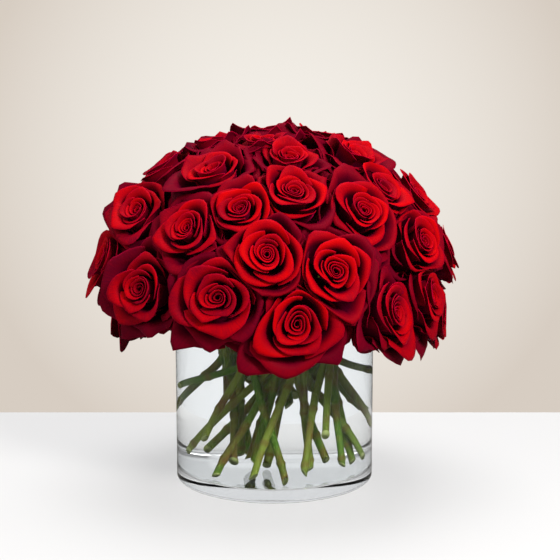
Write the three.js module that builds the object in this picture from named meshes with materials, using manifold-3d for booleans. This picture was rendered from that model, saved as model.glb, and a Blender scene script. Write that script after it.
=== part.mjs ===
// A full dome of red roses standing in a clear glass cylinder vase of water.
// Millimetres, +Z up. The origin is the middle of the vase's underside, and -Y is the front.
import * as THREE from 'three'
import { mergeVertices } from 'three/addons/utils/BufferGeometryUtils.js'
import Module from 'manifold-3d'

const wasm = await Module()
wasm.setup()

// Driving dimensions
const CLEARANCE = 0.3 // between pieces that lie against each other
const VASE = { radius: 89, height: 150, wall: 4, base: 11, sides: 40, footChamfer: 2.5, rimRound: 1.8 }
const WATER_LEVEL = 138
const FOCUS = new THREE.Vector3(0, 0, 138) // every rose looks straight away from this point
const ROSE = { depth: 48, cupDepth: 14, sides: 14, gap: 0.3 }
const STEM = { radius: 3.2, hipRadius: 6.4, hipLength: 9, sides: 5, spacing: 7.2, cutSlant: 0.8, bends: 2 }
const NECK = { radius: 52, height: 115, bunchSize: 4, bunchPitch: 15.5, pressed: 5, crownAbove: 60 }
const RIM_ROOM = 3.5 // between the side of a stem and the rim that it passes over
const OVER_RIM = VASE.height + STEM.radius + RIM_ROOM // how high the middle of a stem passes over the rim
const WALL_ROOM = 79.5 // how far out the middle of a stem may be in the vase
// The feet that show through the front of the vase, as [rose, x, y, z]
const FEET_SEEN = [
  [1, -75, -20, 35], [2, -16, -40, 26], [3, 17, -64, 15], [4, -48, -60, 15], [5, -25, -75, 15],
  [6, 38, -22, 24], [7, -17, -2, 22], [8, -76, -12, 87], [9, -24, -37, 27], [10, -58, -52, 49],
  [11, -46, 0, 29], [12, -30, -28, 26], [13, -7, 0, 15], [14, 18, -60, 21], [15, 28, -38, 19],
  [16, 42, -56, 55], [17, -17, 20, 19], [20, -77, 0, 64], [21, 74, -22, 27], [22, 59, -20, 20],
  [23, 75, 2, 45], [25, 53, -42, 23], [29, 57, 20, 59], [40, 76, 5, 96]
]
// Where the other feet are: stems at the back and in the middle are cut at different lengths
const FEET = { spread: 38, twist: 50, wander: 8, lowest: 66, highest: 100 }
const FEET_ABOVE_BASE = 4 // at least, from the middle of a foot
// How far a stem runs straight on from its rose and back from the neck, as a share of the way between them
const BEND = { leaving: 0.4, arriving: 0.35, overRim: 12 }
// How often the bunches and the stems are pushed apart, and the share of the lack that each push makes up
const SETTLING = { neckRounds: 200, neckPush: 1 / 4, stemRounds: 150, stemPush: 1 / 3 }
const SAME_POINT = 1e-4
const SLIVER = 0.08 // facets narrower than this, where stems cross, are merged away
const NO_DISTANCE = 1e-6
const PARALLEL = 1e-9
const ACROSS = new THREE.Vector3(0.6, 0.8, 0) // no stem runs this way

// The roses as [azimuth, elevation, reach, half width, turn, droop], in degrees and millimetres: where the
// middle of the bud is, seen from the focus, with azimuth 0 at the front and growing towards +X, and how
// far the rose faces round to the side and down from straight away from the focus.
const ROSES_IN_FRONT = [
  [-13, 45, 177, 31, 2, 12], [-2, 31, 177, 34, 2, 11], [-17, 19, 169, 38, 6, 8], [7, 12, 162, 37, -2, 6],
  [19, 26, 175, 36, -7, 8], [36, 43, 178, 34, -12, 12], [9, 52, 178, 34, -2, 5], [-32, 38, 177, 32, 4, 6],
  [-65, 41, 177, 33, 26, 4], [-46, 19, 169, 34, 13, 7], [11, 67, 178, 34, 0, 5], [-36, 60, 179, 34, 4, 0],
  [66, 64, 180, 34, -8, 4], [60, 31, 176, 35, -12, 7], [42, 13, 163, 38, 18, 2], [61, 15, 166, 34, 4, 4],
  [-80, 56, 180, 34, 0, 0], [105, 76, 180, 34, 0, 0], [-20, 80, 177, 34, 0, 0], [-75, 24, 174, 36, 0, 4],
  [57, 50, 179, 33, -6, 4], [84, 43, 180, 34, -8, 4], [88, 25, 175, 36, 0, 4], [-85, 72, 179, 34, 0, 0],
  [81, 6, 156, 33, 0, 2]
]
const ROSES_BEHIND = [
  [160, 67, 174, 36, 0, 0], [-147, 62, 174, 36, 0, 0], [-165, 80, 178, 34, 0, 0],
  [108, 48, 174, 36, 0, 5], [140, 50, 171, 37, 0, 5], [172, 48, 169, 37, 0, 5], [-155, 50, 170, 37, 0, 5],
  [-122, 47, 173, 37, 0, 5],
  [113, 28, 170, 36, 0, 6], [140, 31, 166, 37, 0, 6], [167, 28, 163, 37, 0, 6], [-166, 31, 164, 37, 0, 6],
  [-139, 28, 166, 37, 0, 6], [-110, 31, 170, 37, 0, 6],
  [103, 8, 156, 36, 0, 4], [129, 11, 155, 37, 0, 4], [155, 7, 152, 37, 0, 4], [-180, 10, 153, 37, 0, 4],
  [-155, 6, 152, 37, 0, 4], [-129, 11, 155, 37, 0, 4], [-103, 8, 155, 36, 0, 4]
]

// The rings of a rose, from its base outwards over the lip of each whorl of petals and back in again.
// share is the part of the room beside the rose that a ring may take; a lip has petals whose middles
// rise above their seams and stand out from them.
const ROSE_RINGS = [
  { height: 2.5, radius: 8, share: 0.5 },
  { height: 20, radius: 26, share: 1 },
  { height: 42, radius: 34, share: 1, petals: 5, turn: 0, rise: 7, spread: 5 },
  { height: 32, radius: 25, share: 0.82 },
  { height: 46, radius: 22, share: 0.74, petals: 5, turn: 0.5, rise: 5, spread: 3 },
  { height: 37, radius: 14, share: 0.5 },
  { height: 49, radius: 11, share: 0.4, petals: 3, turn: 0.2, rise: 4, spread: 2 },
  { height: 41, radius: 6, share: 0.22 }
]
const NATURAL_HALF_WIDTH = 34

const COLOURS = { glass: '#dfe8e6', water: '#cfe0dc', petals: '#b0081c', stems: '#4c7436' }

const radians = THREE.MathUtils.degToRad
const numbered = (name, index) => `${name}_${String(index + 1).padStart(2, '0')}`

// A number between 0 and 1 that is always the same for the same seed
function scatter(seed) {
  const wave = Math.sin(seed * 12.9898) * 43758.5453
  return wave - Math.floor(wave)
}

// The same, between -1 and 1
function spreadScatter(seed) {
  return 2 * scatter(seed) - 1
}

function finish(colour, roughness, opacity = 1) {
  return new THREE.MeshStandardMaterial({ color: colour, roughness, opacity, transparent: opacity < 1 })
}

function named(name, geometry, material) {
  const mesh = new THREE.Mesh(geometry, material)
  mesh.name = name
  return mesh
}

// Solids for cutting and joining, and back again
function toSolid(geometry) {
  const bare = geometry.clone()
  bare.deleteAttribute('normal')
  bare.deleteAttribute('uv')
  const merged = mergeVertices(bare, SAME_POINT)
  const mesh = { numProp: 3, vertProperties: merged.attributes.position.array, triVerts: merged.index.array }
  return new wasm.Manifold(new wasm.Mesh(mesh))
}

function toGeometry(solid) {
  const mesh = solid.getMesh()
  const geometry = new THREE.BufferGeometry()
  geometry.setAttribute('position', new THREE.BufferAttribute(mesh.vertProperties, 3))
  geometry.setIndex(new THREE.BufferAttribute(mesh.triVerts, 1))
  return geometry
}

function largestBody(solid) {
  return solid.simplify(SLIVER).decompose().sort((a, b) => b.volume() - a.volume())[0]
}

// A profile of [radius, height] turned about the Z axis
function turned(profile, sides) {
  const points = profile.map(([radius, height]) => new THREE.Vector2(radius, height))
  return new THREE.LatheGeometry(points, sides).rotateX(Math.PI / 2)
}

// Vase
function vaseGeometry() {
  const { radius, height, wall, base, sides, footChamfer, rimRound } = VASE
  const inside = radius - wall
  const profile = [
    [0, 0], [radius - footChamfer, 0], [radius, footChamfer], [radius, height - rimRound],
    [radius - wall / 2, height], [inside, height - rimRound], [inside, base], [0, base]
  ]
  return turned(profile, sides)
}

// Roses
function direction(azimuth, elevation) {
  const [turn, lift] = [radians(azimuth), radians(elevation)]
  return new THREE.Vector3(Math.sin(turn) * Math.cos(lift), -Math.cos(turn) * Math.cos(lift), Math.sin(lift))
}

function readRoses() {
  return [...ROSES_IN_FRONT, ...ROSES_BEHIND].map((row, index) => {
    const [azimuth, elevation, reach, halfWidth, turn, droop] = row
    const heart = direction(azimuth, elevation).multiplyScalar(reach).add(FOCUS)
    const axis = direction(azimuth + turn, elevation - droop)
    const rose = { index, azimuth, elevation, axis, halfWidth, base: heart.clone() }
    rose.base.addScaledVector(axis, -ROSE.depth)
    rose.cup = heart.addScaledVector(axis, -ROSE.cupDepth)
    return rose
  })
}

function alongAxis(rose, height) {
  return rose.base.clone().addScaledVector(rose.axis, height)
}

// How far sideways a rose may spread at one height: as far as the plane half way to each neighbour
function roomBeside(rose, roses, height, sideways) {
  const start = alongAxis(rose, height)
  const rooms = roses.map((other) => {
    const across = other.cup.clone().sub(rose.cup)
    const towards = across.dot(sideways)
    if (other === rose || towards <= 0) return Infinity
    const gap = ROSE.gap * across.length()
    return (across.lengthSq() / 2 - across.dot(start.clone().sub(rose.cup)) - gap) / towards
  })
  return Math.min(...rooms)
}

// The middle of a petal stands 0.5 above the ring, and the seam between two petals 0.5 below it
function petalWave(ring, angle) {
  if (!ring.petals) return 0
  return Math.abs(Math.cos((ring.petals * angle) / 2 + Math.PI * ring.turn)) - 0.5
}

function roseGeometry(rose, roses) {
  const profile = [[0, 0], ...ROSE_RINGS.map(({ radius, height }) => [radius, height]), [0, ROSE.depth]]
  const geometry = turned(profile, ROSE.sides)
  const position = geometry.attributes.position
  const upright = new THREE.Vector3(0, 0, 1)
  const facing = new THREE.Quaternion().setFromUnitVectors(upright, rose.axis)
  facing.multiply(new THREE.Quaternion().setFromAxisAngle(upright, 2 * Math.PI * scatter(rose.index + 1)))
  for (let i = 0; i < position.count; i += 1) {
    const ring = ROSE_RINGS[(i % profile.length) - 1]
    const point = new THREE.Vector3().fromBufferAttribute(position, i)
    if (ring) {
      const sideways = new THREE.Vector3(point.x, point.y, 0).normalize()
      const wave = petalWave(ring, Math.atan2(sideways.y, sideways.x))
      const height = ring.height + (ring.rise ?? 0) * wave
      const natural = (ring.radius * rose.halfWidth) / NATURAL_HALF_WIDTH + (ring.spread ?? 0) * wave
      const room = roomBeside(rose, roses, height, sideways.clone().applyQuaternion(facing))
      point.copy(sideways.multiplyScalar(Math.min(natural, room * ring.share))).setZ(height)
    }
    point.applyQuaternion(facing).add(rose.base)
    position.setXYZ(i, point.x, point.y, point.z)
  }
  return geometry
}

// Stems. Neighbouring stems are pressed together at the neck and make one bunch.
function gatherBunches(roses) {
  const around = (a, b) => a.azimuth - b.azimuth
  const crown = roses.filter((rose) => rose.elevation > NECK.crownAbove).sort(around)
  const sides = roses.filter((rose) => rose.elevation <= NECK.crownAbove).sort(around)
  const bunches = []
  for (const zone of [crown, sides]) {
    for (let i = 0; i < zone.length; i += NECK.bunchSize) bunches.push(zone.slice(i, i + NECK.bunchSize))
  }
  return bunches
}

// A place in the neck for each bunch, with the roses' own places mapped flat and pushed apart
function placeNeck(bunches) {
  const middles = bunches.map((bunch) => {
    const middle = new THREE.Vector2()
    for (const rose of bunch) {
      const turn = radians(rose.azimuth)
      const out = NECK.radius * (1 - rose.elevation / 90)
      rose.flat = new THREE.Vector2(Math.sin(turn) * out, -Math.cos(turn) * out)
      middle.add(rose.flat)
    }
    return middle.divideScalar(bunch.length)
  })
  for (let round = 0; round < SETTLING.neckRounds; round += 1) {
    for (const a of middles) {
      for (const b of middles) {
        const apart = a.distanceTo(b)
        if (a === b || apart >= NECK.bunchPitch) continue
        const push = b.clone().sub(a).multiplyScalar(((NECK.bunchPitch - apart) / apart) * SETTLING.neckPush)
        a.sub(push)
        b.add(push)
      }
    }
    for (const middle of middles) middle.clampLength(0, NECK.radius - 2 * STEM.radius)
  }
  bunches.forEach((bunch, k) => {
    const angleOf = (rose) => rose.flat.clone().sub(middles[k]).angle()
    const ordered = [...bunch].sort((a, b) => angleOf(a) - angleOf(b))
    const ringRadius = NECK.pressed / 2 / Math.sin(Math.PI / bunch.length)
    ordered.forEach((rose, n) => {
      const angle = angleOf(ordered[0]) + (2 * Math.PI * n) / bunch.length
      rose.inBunch = new THREE.Vector3(Math.cos(angle), Math.sin(angle), 0).multiplyScalar(ringRadius)
      rose.neck = middles[k].clone().add(rose.inBunch)
    })
  })
}

function footOf(rose) {
  const seen = FEET_SEEN.find(([number]) => number === rose.index + 1)
  if (seen) return new THREE.Vector3(...seen.slice(1))
  const seed = 7 * rose.index
  const plan = rose.neck.clone().multiplyScalar(FEET.spread / NECK.radius)
  plan.rotateAround(new THREE.Vector2(), radians(FEET.twist * spreadScatter(seed + 1)))
  plan.x += FEET.wander * spreadScatter(seed + 2)
  plan.y += FEET.wander * spreadScatter(seed + 3)
  const height = THREE.MathUtils.lerp(FEET.lowest, FEET.highest, scatter(seed + 4))
  return new THREE.Vector3(plan.x, plan.y, height)
}

// The middle line of a stem, from the rose's hip down over the rim, through the neck to its foot
function stemLine(rose) {
  const neck = new THREE.Vector3(rose.neck.x, rose.neck.y, NECK.height)
  const foot = footOf(rose)
  const top = alongAxis(rose, -CLEARANCE)
  const hipEnd = alongAxis(rose, -CLEARANCE - STEM.hipLength)
  const downwards = foot.clone().sub(neck).normalize()
  const way = hipEnd.distanceTo(neck)
  const leave = alongAxis(rose, -BEND.leaving * way)
  leave.z = Math.max(leave.z, VASE.height + BEND.overRim)
  const arrive = neck.clone().addScaledVector(downwards, -BEND.arriving * way)
  const bend = new THREE.CubicBezierCurve3(hipEnd, leave, arrive, neck)
  return [top, ...bend.getPoints(STEM.bends), foot]
}

// The closest places on two straight stretches, as the share along each, and the way from one to the other
function closest(a, b) {
  const [p, q] = [a[1].clone().sub(a[0]), b[1].clone().sub(b[0])]
  const r = a[0].clone().sub(b[0])
  const [pp, qq, pq, pr, qr] = [p.dot(p), q.dot(q), p.dot(q), p.dot(r), q.dot(r)]
  const flat = pp * qq - pq * pq
  let s = flat > PARALLEL ? THREE.MathUtils.clamp((pq * qr - pr * qq) / flat, 0, 1) : 0
  const t = THREE.MathUtils.clamp((pq * s + qr) / qq, 0, 1)
  s = THREE.MathUtils.clamp((pq * t - pr) / pp, 0, 1)
  const between = b[0].clone().addScaledVector(q, t).sub(a[0].clone().addScaledVector(p, s))
  return { s, t, between }
}

const FIXED_POINTS = 2 // the hip stays under its rose
const NECK_POINT = 1 + STEM.bends

function nudge(line, k, share, move) {
  if (k >= FIXED_POINTS) line[k].addScaledVector(move, 1 - share)
  if (k + 1 >= FIXED_POINTS) line[k + 1].addScaledVector(move, share)
}

// Stems of different bunches push each other aside until they pass with some room
function settleStems(bunches) {
  const stems = bunches.flatMap((bunch, group) => bunch.map((rose) => ({ line: rose.line, group })))
  for (let round = 0; round < SETTLING.stemRounds; round += 1) {
    for (let i = 0; i < stems.length; i += 1) {
      for (let j = i + 1; j < stems.length; j += 1) {
        if (stems[i].group !== stems[j].group) pushApart(stems[i].line, stems[j].line)
      }
    }
    for (const { line } of stems) keepInVase(line)
    for (const bunch of bunches) keepTogether(bunch)
  }
}

function pushApart(first, second) {
  for (let k = 0; k < first.length - 1; k += 1) {
    for (let m = 0; m < second.length - 1; m += 1) {
      const { s, t, between } = closest([first[k], first[k + 1]], [second[m], second[m + 1]])
      const apart = between.length()
      if (apart >= STEM.spacing || apart < NO_DISTANCE) continue
      const push = between.multiplyScalar(((STEM.spacing - apart) / apart) * SETTLING.stemPush)
      nudge(second, m, t, push)
      nudge(first, k, s, push.clone().negate())
    }
  }
}

function keepInVase(line) {
  for (let k = FIXED_POINTS; k < line.length; k += 1) {
    const point = line[k]
    const out = Math.hypot(point.x, point.y)
    const lowest = k === line.length - 1 ? VASE.base + FEET_ABOVE_BASE : 0
    if (point.z < VASE.height && out > WALL_ROOM) {
      point.x *= WALL_ROOM / out
      point.y *= WALL_ROOM / out
    }
    point.z = Math.max(point.z, lowest)
  }
  for (let k = 0; k < line.length - 1; k += 1) liftOverRim(line, k)
}

// Where a stretch of stem crosses the vase's wall, it passes over the rim
function liftOverRim(line, k) {
  const [outer, inner] = [line[k], line[k + 1]].map((point) => Math.hypot(point.x, point.y))
  for (const wallSide of [VASE.radius, VASE.radius - VASE.wall]) {
    const share = (outer - wallSide) / (outer - inner)
    if (share < 0 || share > 1) continue
    const lack = OVER_RIM - THREE.MathUtils.lerp(line[k].z, line[k + 1].z, share)
    if (lack > 0) nudge(line, k, share, new THREE.Vector3(0, 0, lack))
  }
}

// The stems of a bunch stay pressed together at the neck
function keepTogether(bunch) {
  const middle = new THREE.Vector3()
  for (const rose of bunch) middle.add(rose.line[NECK_POINT])
  middle.divideScalar(bunch.length).setZ(NECK.height)
  for (const rose of bunch) rose.line[NECK_POINT].copy(middle).add(rose.inBunch)
}

// A round bar bent along a line, with a width for each point and a slanted cut at its foot
function barAlong(line, widths) {
  const steps = line.length - 1
  const geometry = new THREE.CylinderGeometry(1, 1, 1, STEM.sides, steps)
  const position = geometry.attributes.position
  const frames = line.map((point, k) => {
    const upwards = line[Math.max(k - 1, 0)].clone().sub(line[Math.min(k + 1, steps)]).normalize()
    const across = ACROSS.clone().cross(upwards).normalize()
    return { point, upwards, across, beyond: across.clone().cross(upwards) }
  })
  for (let i = 0; i < position.count; i += 1) {
    const local = new THREE.Vector3().fromBufferAttribute(position, i)
    const k = Math.round((0.5 - local.y) * steps)
    const frame = frames[k]
    const place = frame.point.clone()
    place.addScaledVector(frame.across, local.x * widths[k])
    place.addScaledVector(frame.beyond, local.z * widths[k])
    if (k === steps) place.addScaledVector(frame.upwards, local.x * widths[k] * STEM.cutSlant)
    position.setXYZ(i, place.x, place.y, place.z)
  }
  return geometry
}

function stemSolid(line, grown = 0) {
  const widths = line.map(() => STEM.radius + grown)
  widths[0] = STEM.hipRadius + grown
  return toSolid(barAlong(line, widths))
}

// A little past the foot, so that the water is clear of the cut end too
function pastTheFoot(line) {
  const last = line.length - 1
  const beyond = line[last].clone().sub(line[last - 1]).setLength(CLEARANCE)
  return [...line.slice(0, last), line[last].clone().add(beyond)]
}

// Water: what the vase holds, with a plain hole for each stem
function waterSolid(roses) {
  const radius = VASE.radius - VASE.wall - CLEARANCE
  const floor = VASE.base + CLEARANCE
  const profile = [[0, floor], [radius, floor], [radius, WATER_LEVEL], [0, WATER_LEVEL]]
  let water = toSolid(turned(profile, VASE.sides))
  const sideways = CLEARANCE / Math.cos(Math.PI / STEM.sides)
  for (const rose of roses) water = water.subtract(stemSolid(pastTheFoot(rose.line), sideways))
  return largestBody(water)
}

// The whole arrangement
const roses = readRoses()
const bunches = gatherBunches(roses)
placeNeck(bunches)
for (const rose of roses) rose.line = stemLine(rose)
settleStems(bunches)

const arrangement = new THREE.Group()
arrangement.name = 'roses_in_a_vase'

arrangement.add(named('vase', vaseGeometry(), finish(COLOURS.glass, 0.05, 0.35)))
arrangement.add(named('water', toGeometry(waterSolid(roses)), finish(COLOURS.water, 0.02, 0.3)))

const stemFinish = finish(COLOURS.stems, 0.6)
bunches.forEach((bunch, index) => {
  const solid = bunch.map((rose) => stemSolid(rose.line)).reduce((all, stem) => all.add(stem))
  arrangement.add(named(numbered('stems', index), toGeometry(largestBody(solid)), stemFinish))
})

const petalFinish = finish(COLOURS.petals, 0.7)
for (const rose of roses) {
  arrangement.add(named(numbered('bloom', rose.index), roseGeometry(rose, roses), petalFinish))
}

export default arrangement
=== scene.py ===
import math
from types import SimpleNamespace

import bmesh
import bpy
import numpy as np
from mathutils import Matrix, Quaternion, Vector


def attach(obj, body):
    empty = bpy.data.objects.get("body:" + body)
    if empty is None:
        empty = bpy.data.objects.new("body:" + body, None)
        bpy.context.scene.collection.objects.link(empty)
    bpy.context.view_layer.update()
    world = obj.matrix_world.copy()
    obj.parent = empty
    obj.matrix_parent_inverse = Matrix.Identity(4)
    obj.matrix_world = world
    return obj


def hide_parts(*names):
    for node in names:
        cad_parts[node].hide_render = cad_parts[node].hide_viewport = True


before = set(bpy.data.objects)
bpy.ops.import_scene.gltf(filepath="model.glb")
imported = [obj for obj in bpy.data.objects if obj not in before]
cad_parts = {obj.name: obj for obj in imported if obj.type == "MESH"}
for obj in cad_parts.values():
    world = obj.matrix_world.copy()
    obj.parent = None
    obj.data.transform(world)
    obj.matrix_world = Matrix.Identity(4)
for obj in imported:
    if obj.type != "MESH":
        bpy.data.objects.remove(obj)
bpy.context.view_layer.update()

MM = 0.001
UP = Vector((0, 0, 1))

# The dimensions that put the vase, the water, the stems and the roses where their solids are
CLEARANCE = 0.3 * MM
VASE_RADIUS = 89 * MM
VASE_HEIGHT = 150 * MM
VASE_WALL = 4 * MM
VASE_BASE = 11 * MM
FOOT_ROUND = 3 * MM
RIM_ROUND = 1.6 * MM
FLOOR_ROUND = 4 * MM
PAST_ROUNDING = 1.08
SPIN_STEPS = 160
WATER_LEVEL = 138 * MM
WATER_IN_GLASS = 0.2 * MM  # the water's skin lies this far inside the glass, so that there is no air between
MENISCUS_HEIGHT = 1 * MM
MENISCUS_WIDTH = 1.8 * MM
FOCUS = Vector((0, 0, 138 * MM))  # the roses stand round this point and look away from it
ROSE_DEPTH = 48 * MM
CUP_DEPTH = 14 * MM
ROSE_GAP = 0.3 * MM
NEIGHBOURS = 10  # the nearest roses, against which the petals of a rose are pressed
STEM_RADIUS = 3.2 * MM
HIP_RADIUS = 6.4 * MM
HIP_LENGTH = 9 * MM
STEM_SPACING = 7.2 * MM
STEM_BENDS = 2
NECK_RADIUS = 52 * MM
NECK_HEIGHT = 115 * MM
BUNCH_SIZE = 4
BUNCH_PITCH = 15.5 * MM
BUNCH_PRESSED = 5 * MM
CROWN_ABOVE = 60
OVER_RIM = VASE_HEIGHT + STEM_RADIUS + 3.5 * MM
WALL_ROOM = 79.5 * MM
FEET_SPREAD = 38 * MM
FEET_TWIST = 50
FEET_WANDER = 8 * MM
FEET_LOWEST = 66 * MM
FEET_HIGHEST = 100 * MM
FEET_ABOVE_BASE = 4 * MM
BEND_LEAVING = 0.4
BEND_ARRIVING = 0.35
BEND_OVER_RIM = 12 * MM
NECK_ROUNDS = 200
NECK_PUSH = 1 / 4
STEM_ROUNDS = 150
STEM_PUSH = 1 / 3
NEARBY = 1.3 * STEM_SPACING
PARALLEL = 1e-21  # below this, two stretches count as parallel
TOUCHING = 1e-9  # below this, there is no way to push two stretches apart
FIXED_POINTS = 2
NECK_POINT = 1 + STEM_BENDS

# The roses as (azimuth, elevation, reach, half width, turn, droop), in degrees and millimetres: where the
# middle of the bud is, seen from the focus, with azimuth 0 at the front and growing towards +X, and how
# far the rose faces round to the side and down from straight away from the focus.
ROSES_IN_FRONT = [
    (-13, 45, 177, 31, 2, 12), (-2, 31, 177, 34, 2, 11), (-17, 19, 169, 38, 6, 8), (7, 12, 162, 37, -2, 6),
    (19, 26, 175, 36, -7, 8), (36, 43, 178, 34, -12, 12), (9, 52, 178, 34, -2, 5), (-32, 38, 177, 32, 4, 6),
    (-65, 41, 177, 33, 26, 4), (-46, 19, 169, 34, 13, 7), (11, 67, 178, 34, 0, 5), (-36, 60, 179, 34, 4, 0),
    (66, 64, 180, 34, -8, 4), (60, 31, 176, 35, -12, 7), (42, 13, 163, 38, 18, 2), (61, 15, 166, 34, 4, 4),
    (-80, 56, 180, 34, 0, 0), (105, 76, 180, 34, 0, 0), (-20, 80, 177, 34, 0, 0), (-75, 24, 174, 36, 0, 4),
    (57, 50, 179, 33, -6, 4), (84, 43, 180, 34, -8, 4), (88, 25, 175, 36, 0, 4), (-85, 72, 179, 34, 0, 0),
    (81, 6, 156, 33, 0, 2),
]
ROSES_BEHIND = [
    (160, 67, 174, 36, 0, 0), (-147, 62, 174, 36, 0, 0), (-165, 80, 178, 34, 0, 0),
    (108, 48, 174, 36, 0, 5), (140, 50, 171, 37, 0, 5), (172, 48, 169, 37, 0, 5), (-155, 50, 170, 37, 0, 5),
    (-122, 47, 173, 37, 0, 5),
    (113, 28, 170, 36, 0, 6), (140, 31, 166, 37, 0, 6), (167, 28, 163, 37, 0, 6), (-166, 31, 164, 37, 0, 6),
    (-139, 28, 166, 37, 0, 6), (-110, 31, 170, 37, 0, 6),
    (103, 8, 156, 36, 0, 4), (129, 11, 155, 37, 0, 4), (155, 7, 152, 37, 0, 4), (-180, 10, 153, 37, 0, 4),
    (-155, 6, 152, 37, 0, 4), (-129, 11, 155, 37, 0, 4), (-103, 8, 155, 36, 0, 4),
]
NATURAL_HALF_WIDTH = 34
# The feet that show through the front of the vase, as (rose, x, y, z). The rest are spread by a rule, and
# cut at different lengths.
FEET_SEEN = [
    (1, -75, -20, 35), (2, -16, -40, 26), (3, 17, -64, 15), (4, -48, -60, 15), (5, -25, -75, 15),
    (6, 38, -22, 24), (7, -17, -2, 22), (8, -76, -12, 87), (9, -24, -37, 27), (10, -58, -52, 49),
    (11, -46, 0, 29), (12, -30, -28, 26), (13, -7, 0, 15), (14, 18, -60, 21), (15, 28, -38, 19),
    (16, 42, -56, 55), (17, -17, 20, 19), (20, -77, 0, 64), (21, 74, -22, 27), (22, 59, -20, 20),
    (23, 75, 2, 45), (25, 53, -42, 23), (29, 57, 20, 59), (40, 76, 5, 96),
]

# How the petals of a rose change from its heart to its skirt, in degrees and millimetres. at is the share
# of the way outwards; line is the middle line of a petal as (out from the axis, up from the base); wrap is
# how far round the axis it reaches to either side; fall is how far its top edge falls away to its sides,
# and point how sharply; tuck is how far it lies outside its neighbour on one side and inside it on the
# other; peak is how far its middle stands out beyond its sides; tip is how far the point in the middle of
# its edge is drawn out; ruffle is how much its edge waves.
PETALS = [
    dict(at=0.0, wrap=165, fall=0.06, point=2.2, tuck=-0.16, peak=0.0, tip=0.0, ruffle=0.0,
         line=[(0.8, 14), (1.4, 24), (2.0, 32), (2.3, 37), (2.4, 40), (2.4, 42.0), (2.6, 43.0)]),
    dict(at=0.12, wrap=128, fall=0.10, point=2.0, tuck=-0.17, peak=0.06, tip=0.3, ruffle=0.2,
         line=[(2, 12), (3.4, 22), (4.5, 31), (5.0, 37), (5.2, 41.4), (5.4, 44.0), (6.1, 45.2)]),
    dict(at=0.25, wrap=98, fall=0.15, point=1.8, tuck=-0.15, peak=0.14, tip=0.8, ruffle=0.5,
         line=[(3, 10), (6.0, 19), (7.6, 29), (8.3, 36), (8.8, 41.5), (9.6, 45.0), (11.2, 46.6)]),
    dict(at=0.38, wrap=82, fall=0.20, point=1.6, tuck=-0.12, peak=0.20, tip=1.8, ruffle=0.9,
         line=[(4, 9), (9.0, 17), (11.6, 27), (12.6, 35), (13.5, 41.0), (15.2, 45.0), (18.0, 46.0)]),
    dict(at=0.50, wrap=72, fall=0.27, point=1.3, tuck=-0.08, peak=0.26, tip=3.2, ruffle=1.4,
         line=[(5, 7), (13, 14), (16.8, 24), (18.2, 33), (19.6, 39.6), (22.0, 43.4), (25.2, 43.2)]),
    dict(at=0.64, wrap=64, fall=0.30, point=1.2, tuck=-0.03, peak=0.30, tip=4.6, ruffle=1.9,
         line=[(6, 4), (16.5, 10), (21.6, 20), (24.0, 29.5), (26.4, 36.4), (29.4, 39.0), (32.4, 37.0)]),
    dict(at=0.80, wrap=56, fall=0.30, point=1.2, tuck=0.03, peak=0.30, tip=5.5, ruffle=2.4,
         line=[(7, 3), (18, 8), (25.0, 15), (29, 22.5), (32.0, 28.0), (34.8, 30.0), (37.4, 28.0)]),
    dict(at=1.0, wrap=50, fall=0.32, point=1.2, tuck=0.06, peak=0.30, tip=7.0, ruffle=2.8,
         line=[(8, 2), (19, 6), (27.5, 11.5), (32.2, 17), (35.6, 21.5), (38.4, 23), (40.8, 21.0)]),
]
# The low dark petals round the foot of a rose, which close the gaps to its neighbours
UNDER_PETALS = dict(wrap=58, fall=0.2, point=1.3, tuck=0.05, peak=0.2, tip=2.5, ruffle=2.2,
                    line=[(7, 1), (12, 3.5), (17, 7), (21.5, 10.5), (26, 14), (30, 16.5), (33.5, 17)])
UNDER_COUNT = 6
PETAL_COUNT = 22
PETAL_ACROSS = 16
PETAL_ALONG = 12
GUARDS_FROM = 0.62  # from here outwards the petals are the broad dark ones round the cup
GUARD_REACH = 35 * MM
GUARD_OVERLAP = 0.22
GUARD_STRETCH = 0.14
# By the number in the rose's name: the share of their reach that its guard petals keep, and how much darker
# its petals are painted, as painted shade on the roses at the bottom and on the left of the bouquet, away
# from the key lamp. The roses that aren't named here are darkened by their number.
SHORT_GUARDS = {3: 0.95, 15: 0.82, 16: 0.85, 20: 0.92, 25: 0.8}
SHADED_ROSES = {1: 0, 2: 0, 3: 0.6, 5: 0, 6: 0, 7: 0, 8: 0.3, 9: 0.4, 10: 0.5, 12: 0.4, 15: 0.3, 16: 0.2,
                17: 0.8, 20: 0.6, 24: 0.8}
CROWDED = 40 * MM  # up to this far from the next rose, guard petals stretch to fill the gap
ALONE = 75 * MM
LEAST_ROOM = 3 * MM
FREE_SHARE = 0.76  # petals keep their natural spread up to this share of their room
GOLDEN_ANGLE = math.radians(137.5)
PETAL_THICKNESS = 0.35 * MM
WAVES_FROM = 0.7  # from this share of its length a petal waves and turns out
TIP_FROM = 0.75
TIP_HALF_WIDTH = 0.32
TIP_SHARPNESS = 1.4
OVAL = 0.10  # how far the outline of a rose is from round at its heart, and how much less so at its skirt
LESS_OVAL = 0.05
THREE_SIDED = 0.05
# the disc painted dark as the shade deep inside each rose
SHADE_DISC_RADIUS = 16 * MM
SHADE_DISC_HEIGHT = 0.7 * MM
SHADE_DISC_SIDES = 24
# The roses that stand upright on top of the dome, by their elevation, and those that make its shoulders,
# by their elevation and their azimuth to either side. Their petals are more drawn out and ruffled.
UPRIGHT = (45, 75)
SHOULDER_FROM = (30, 45)
SHOULDER_TO = (68, 78)
SHOULDER_BESIDE = (50, 60)

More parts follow.
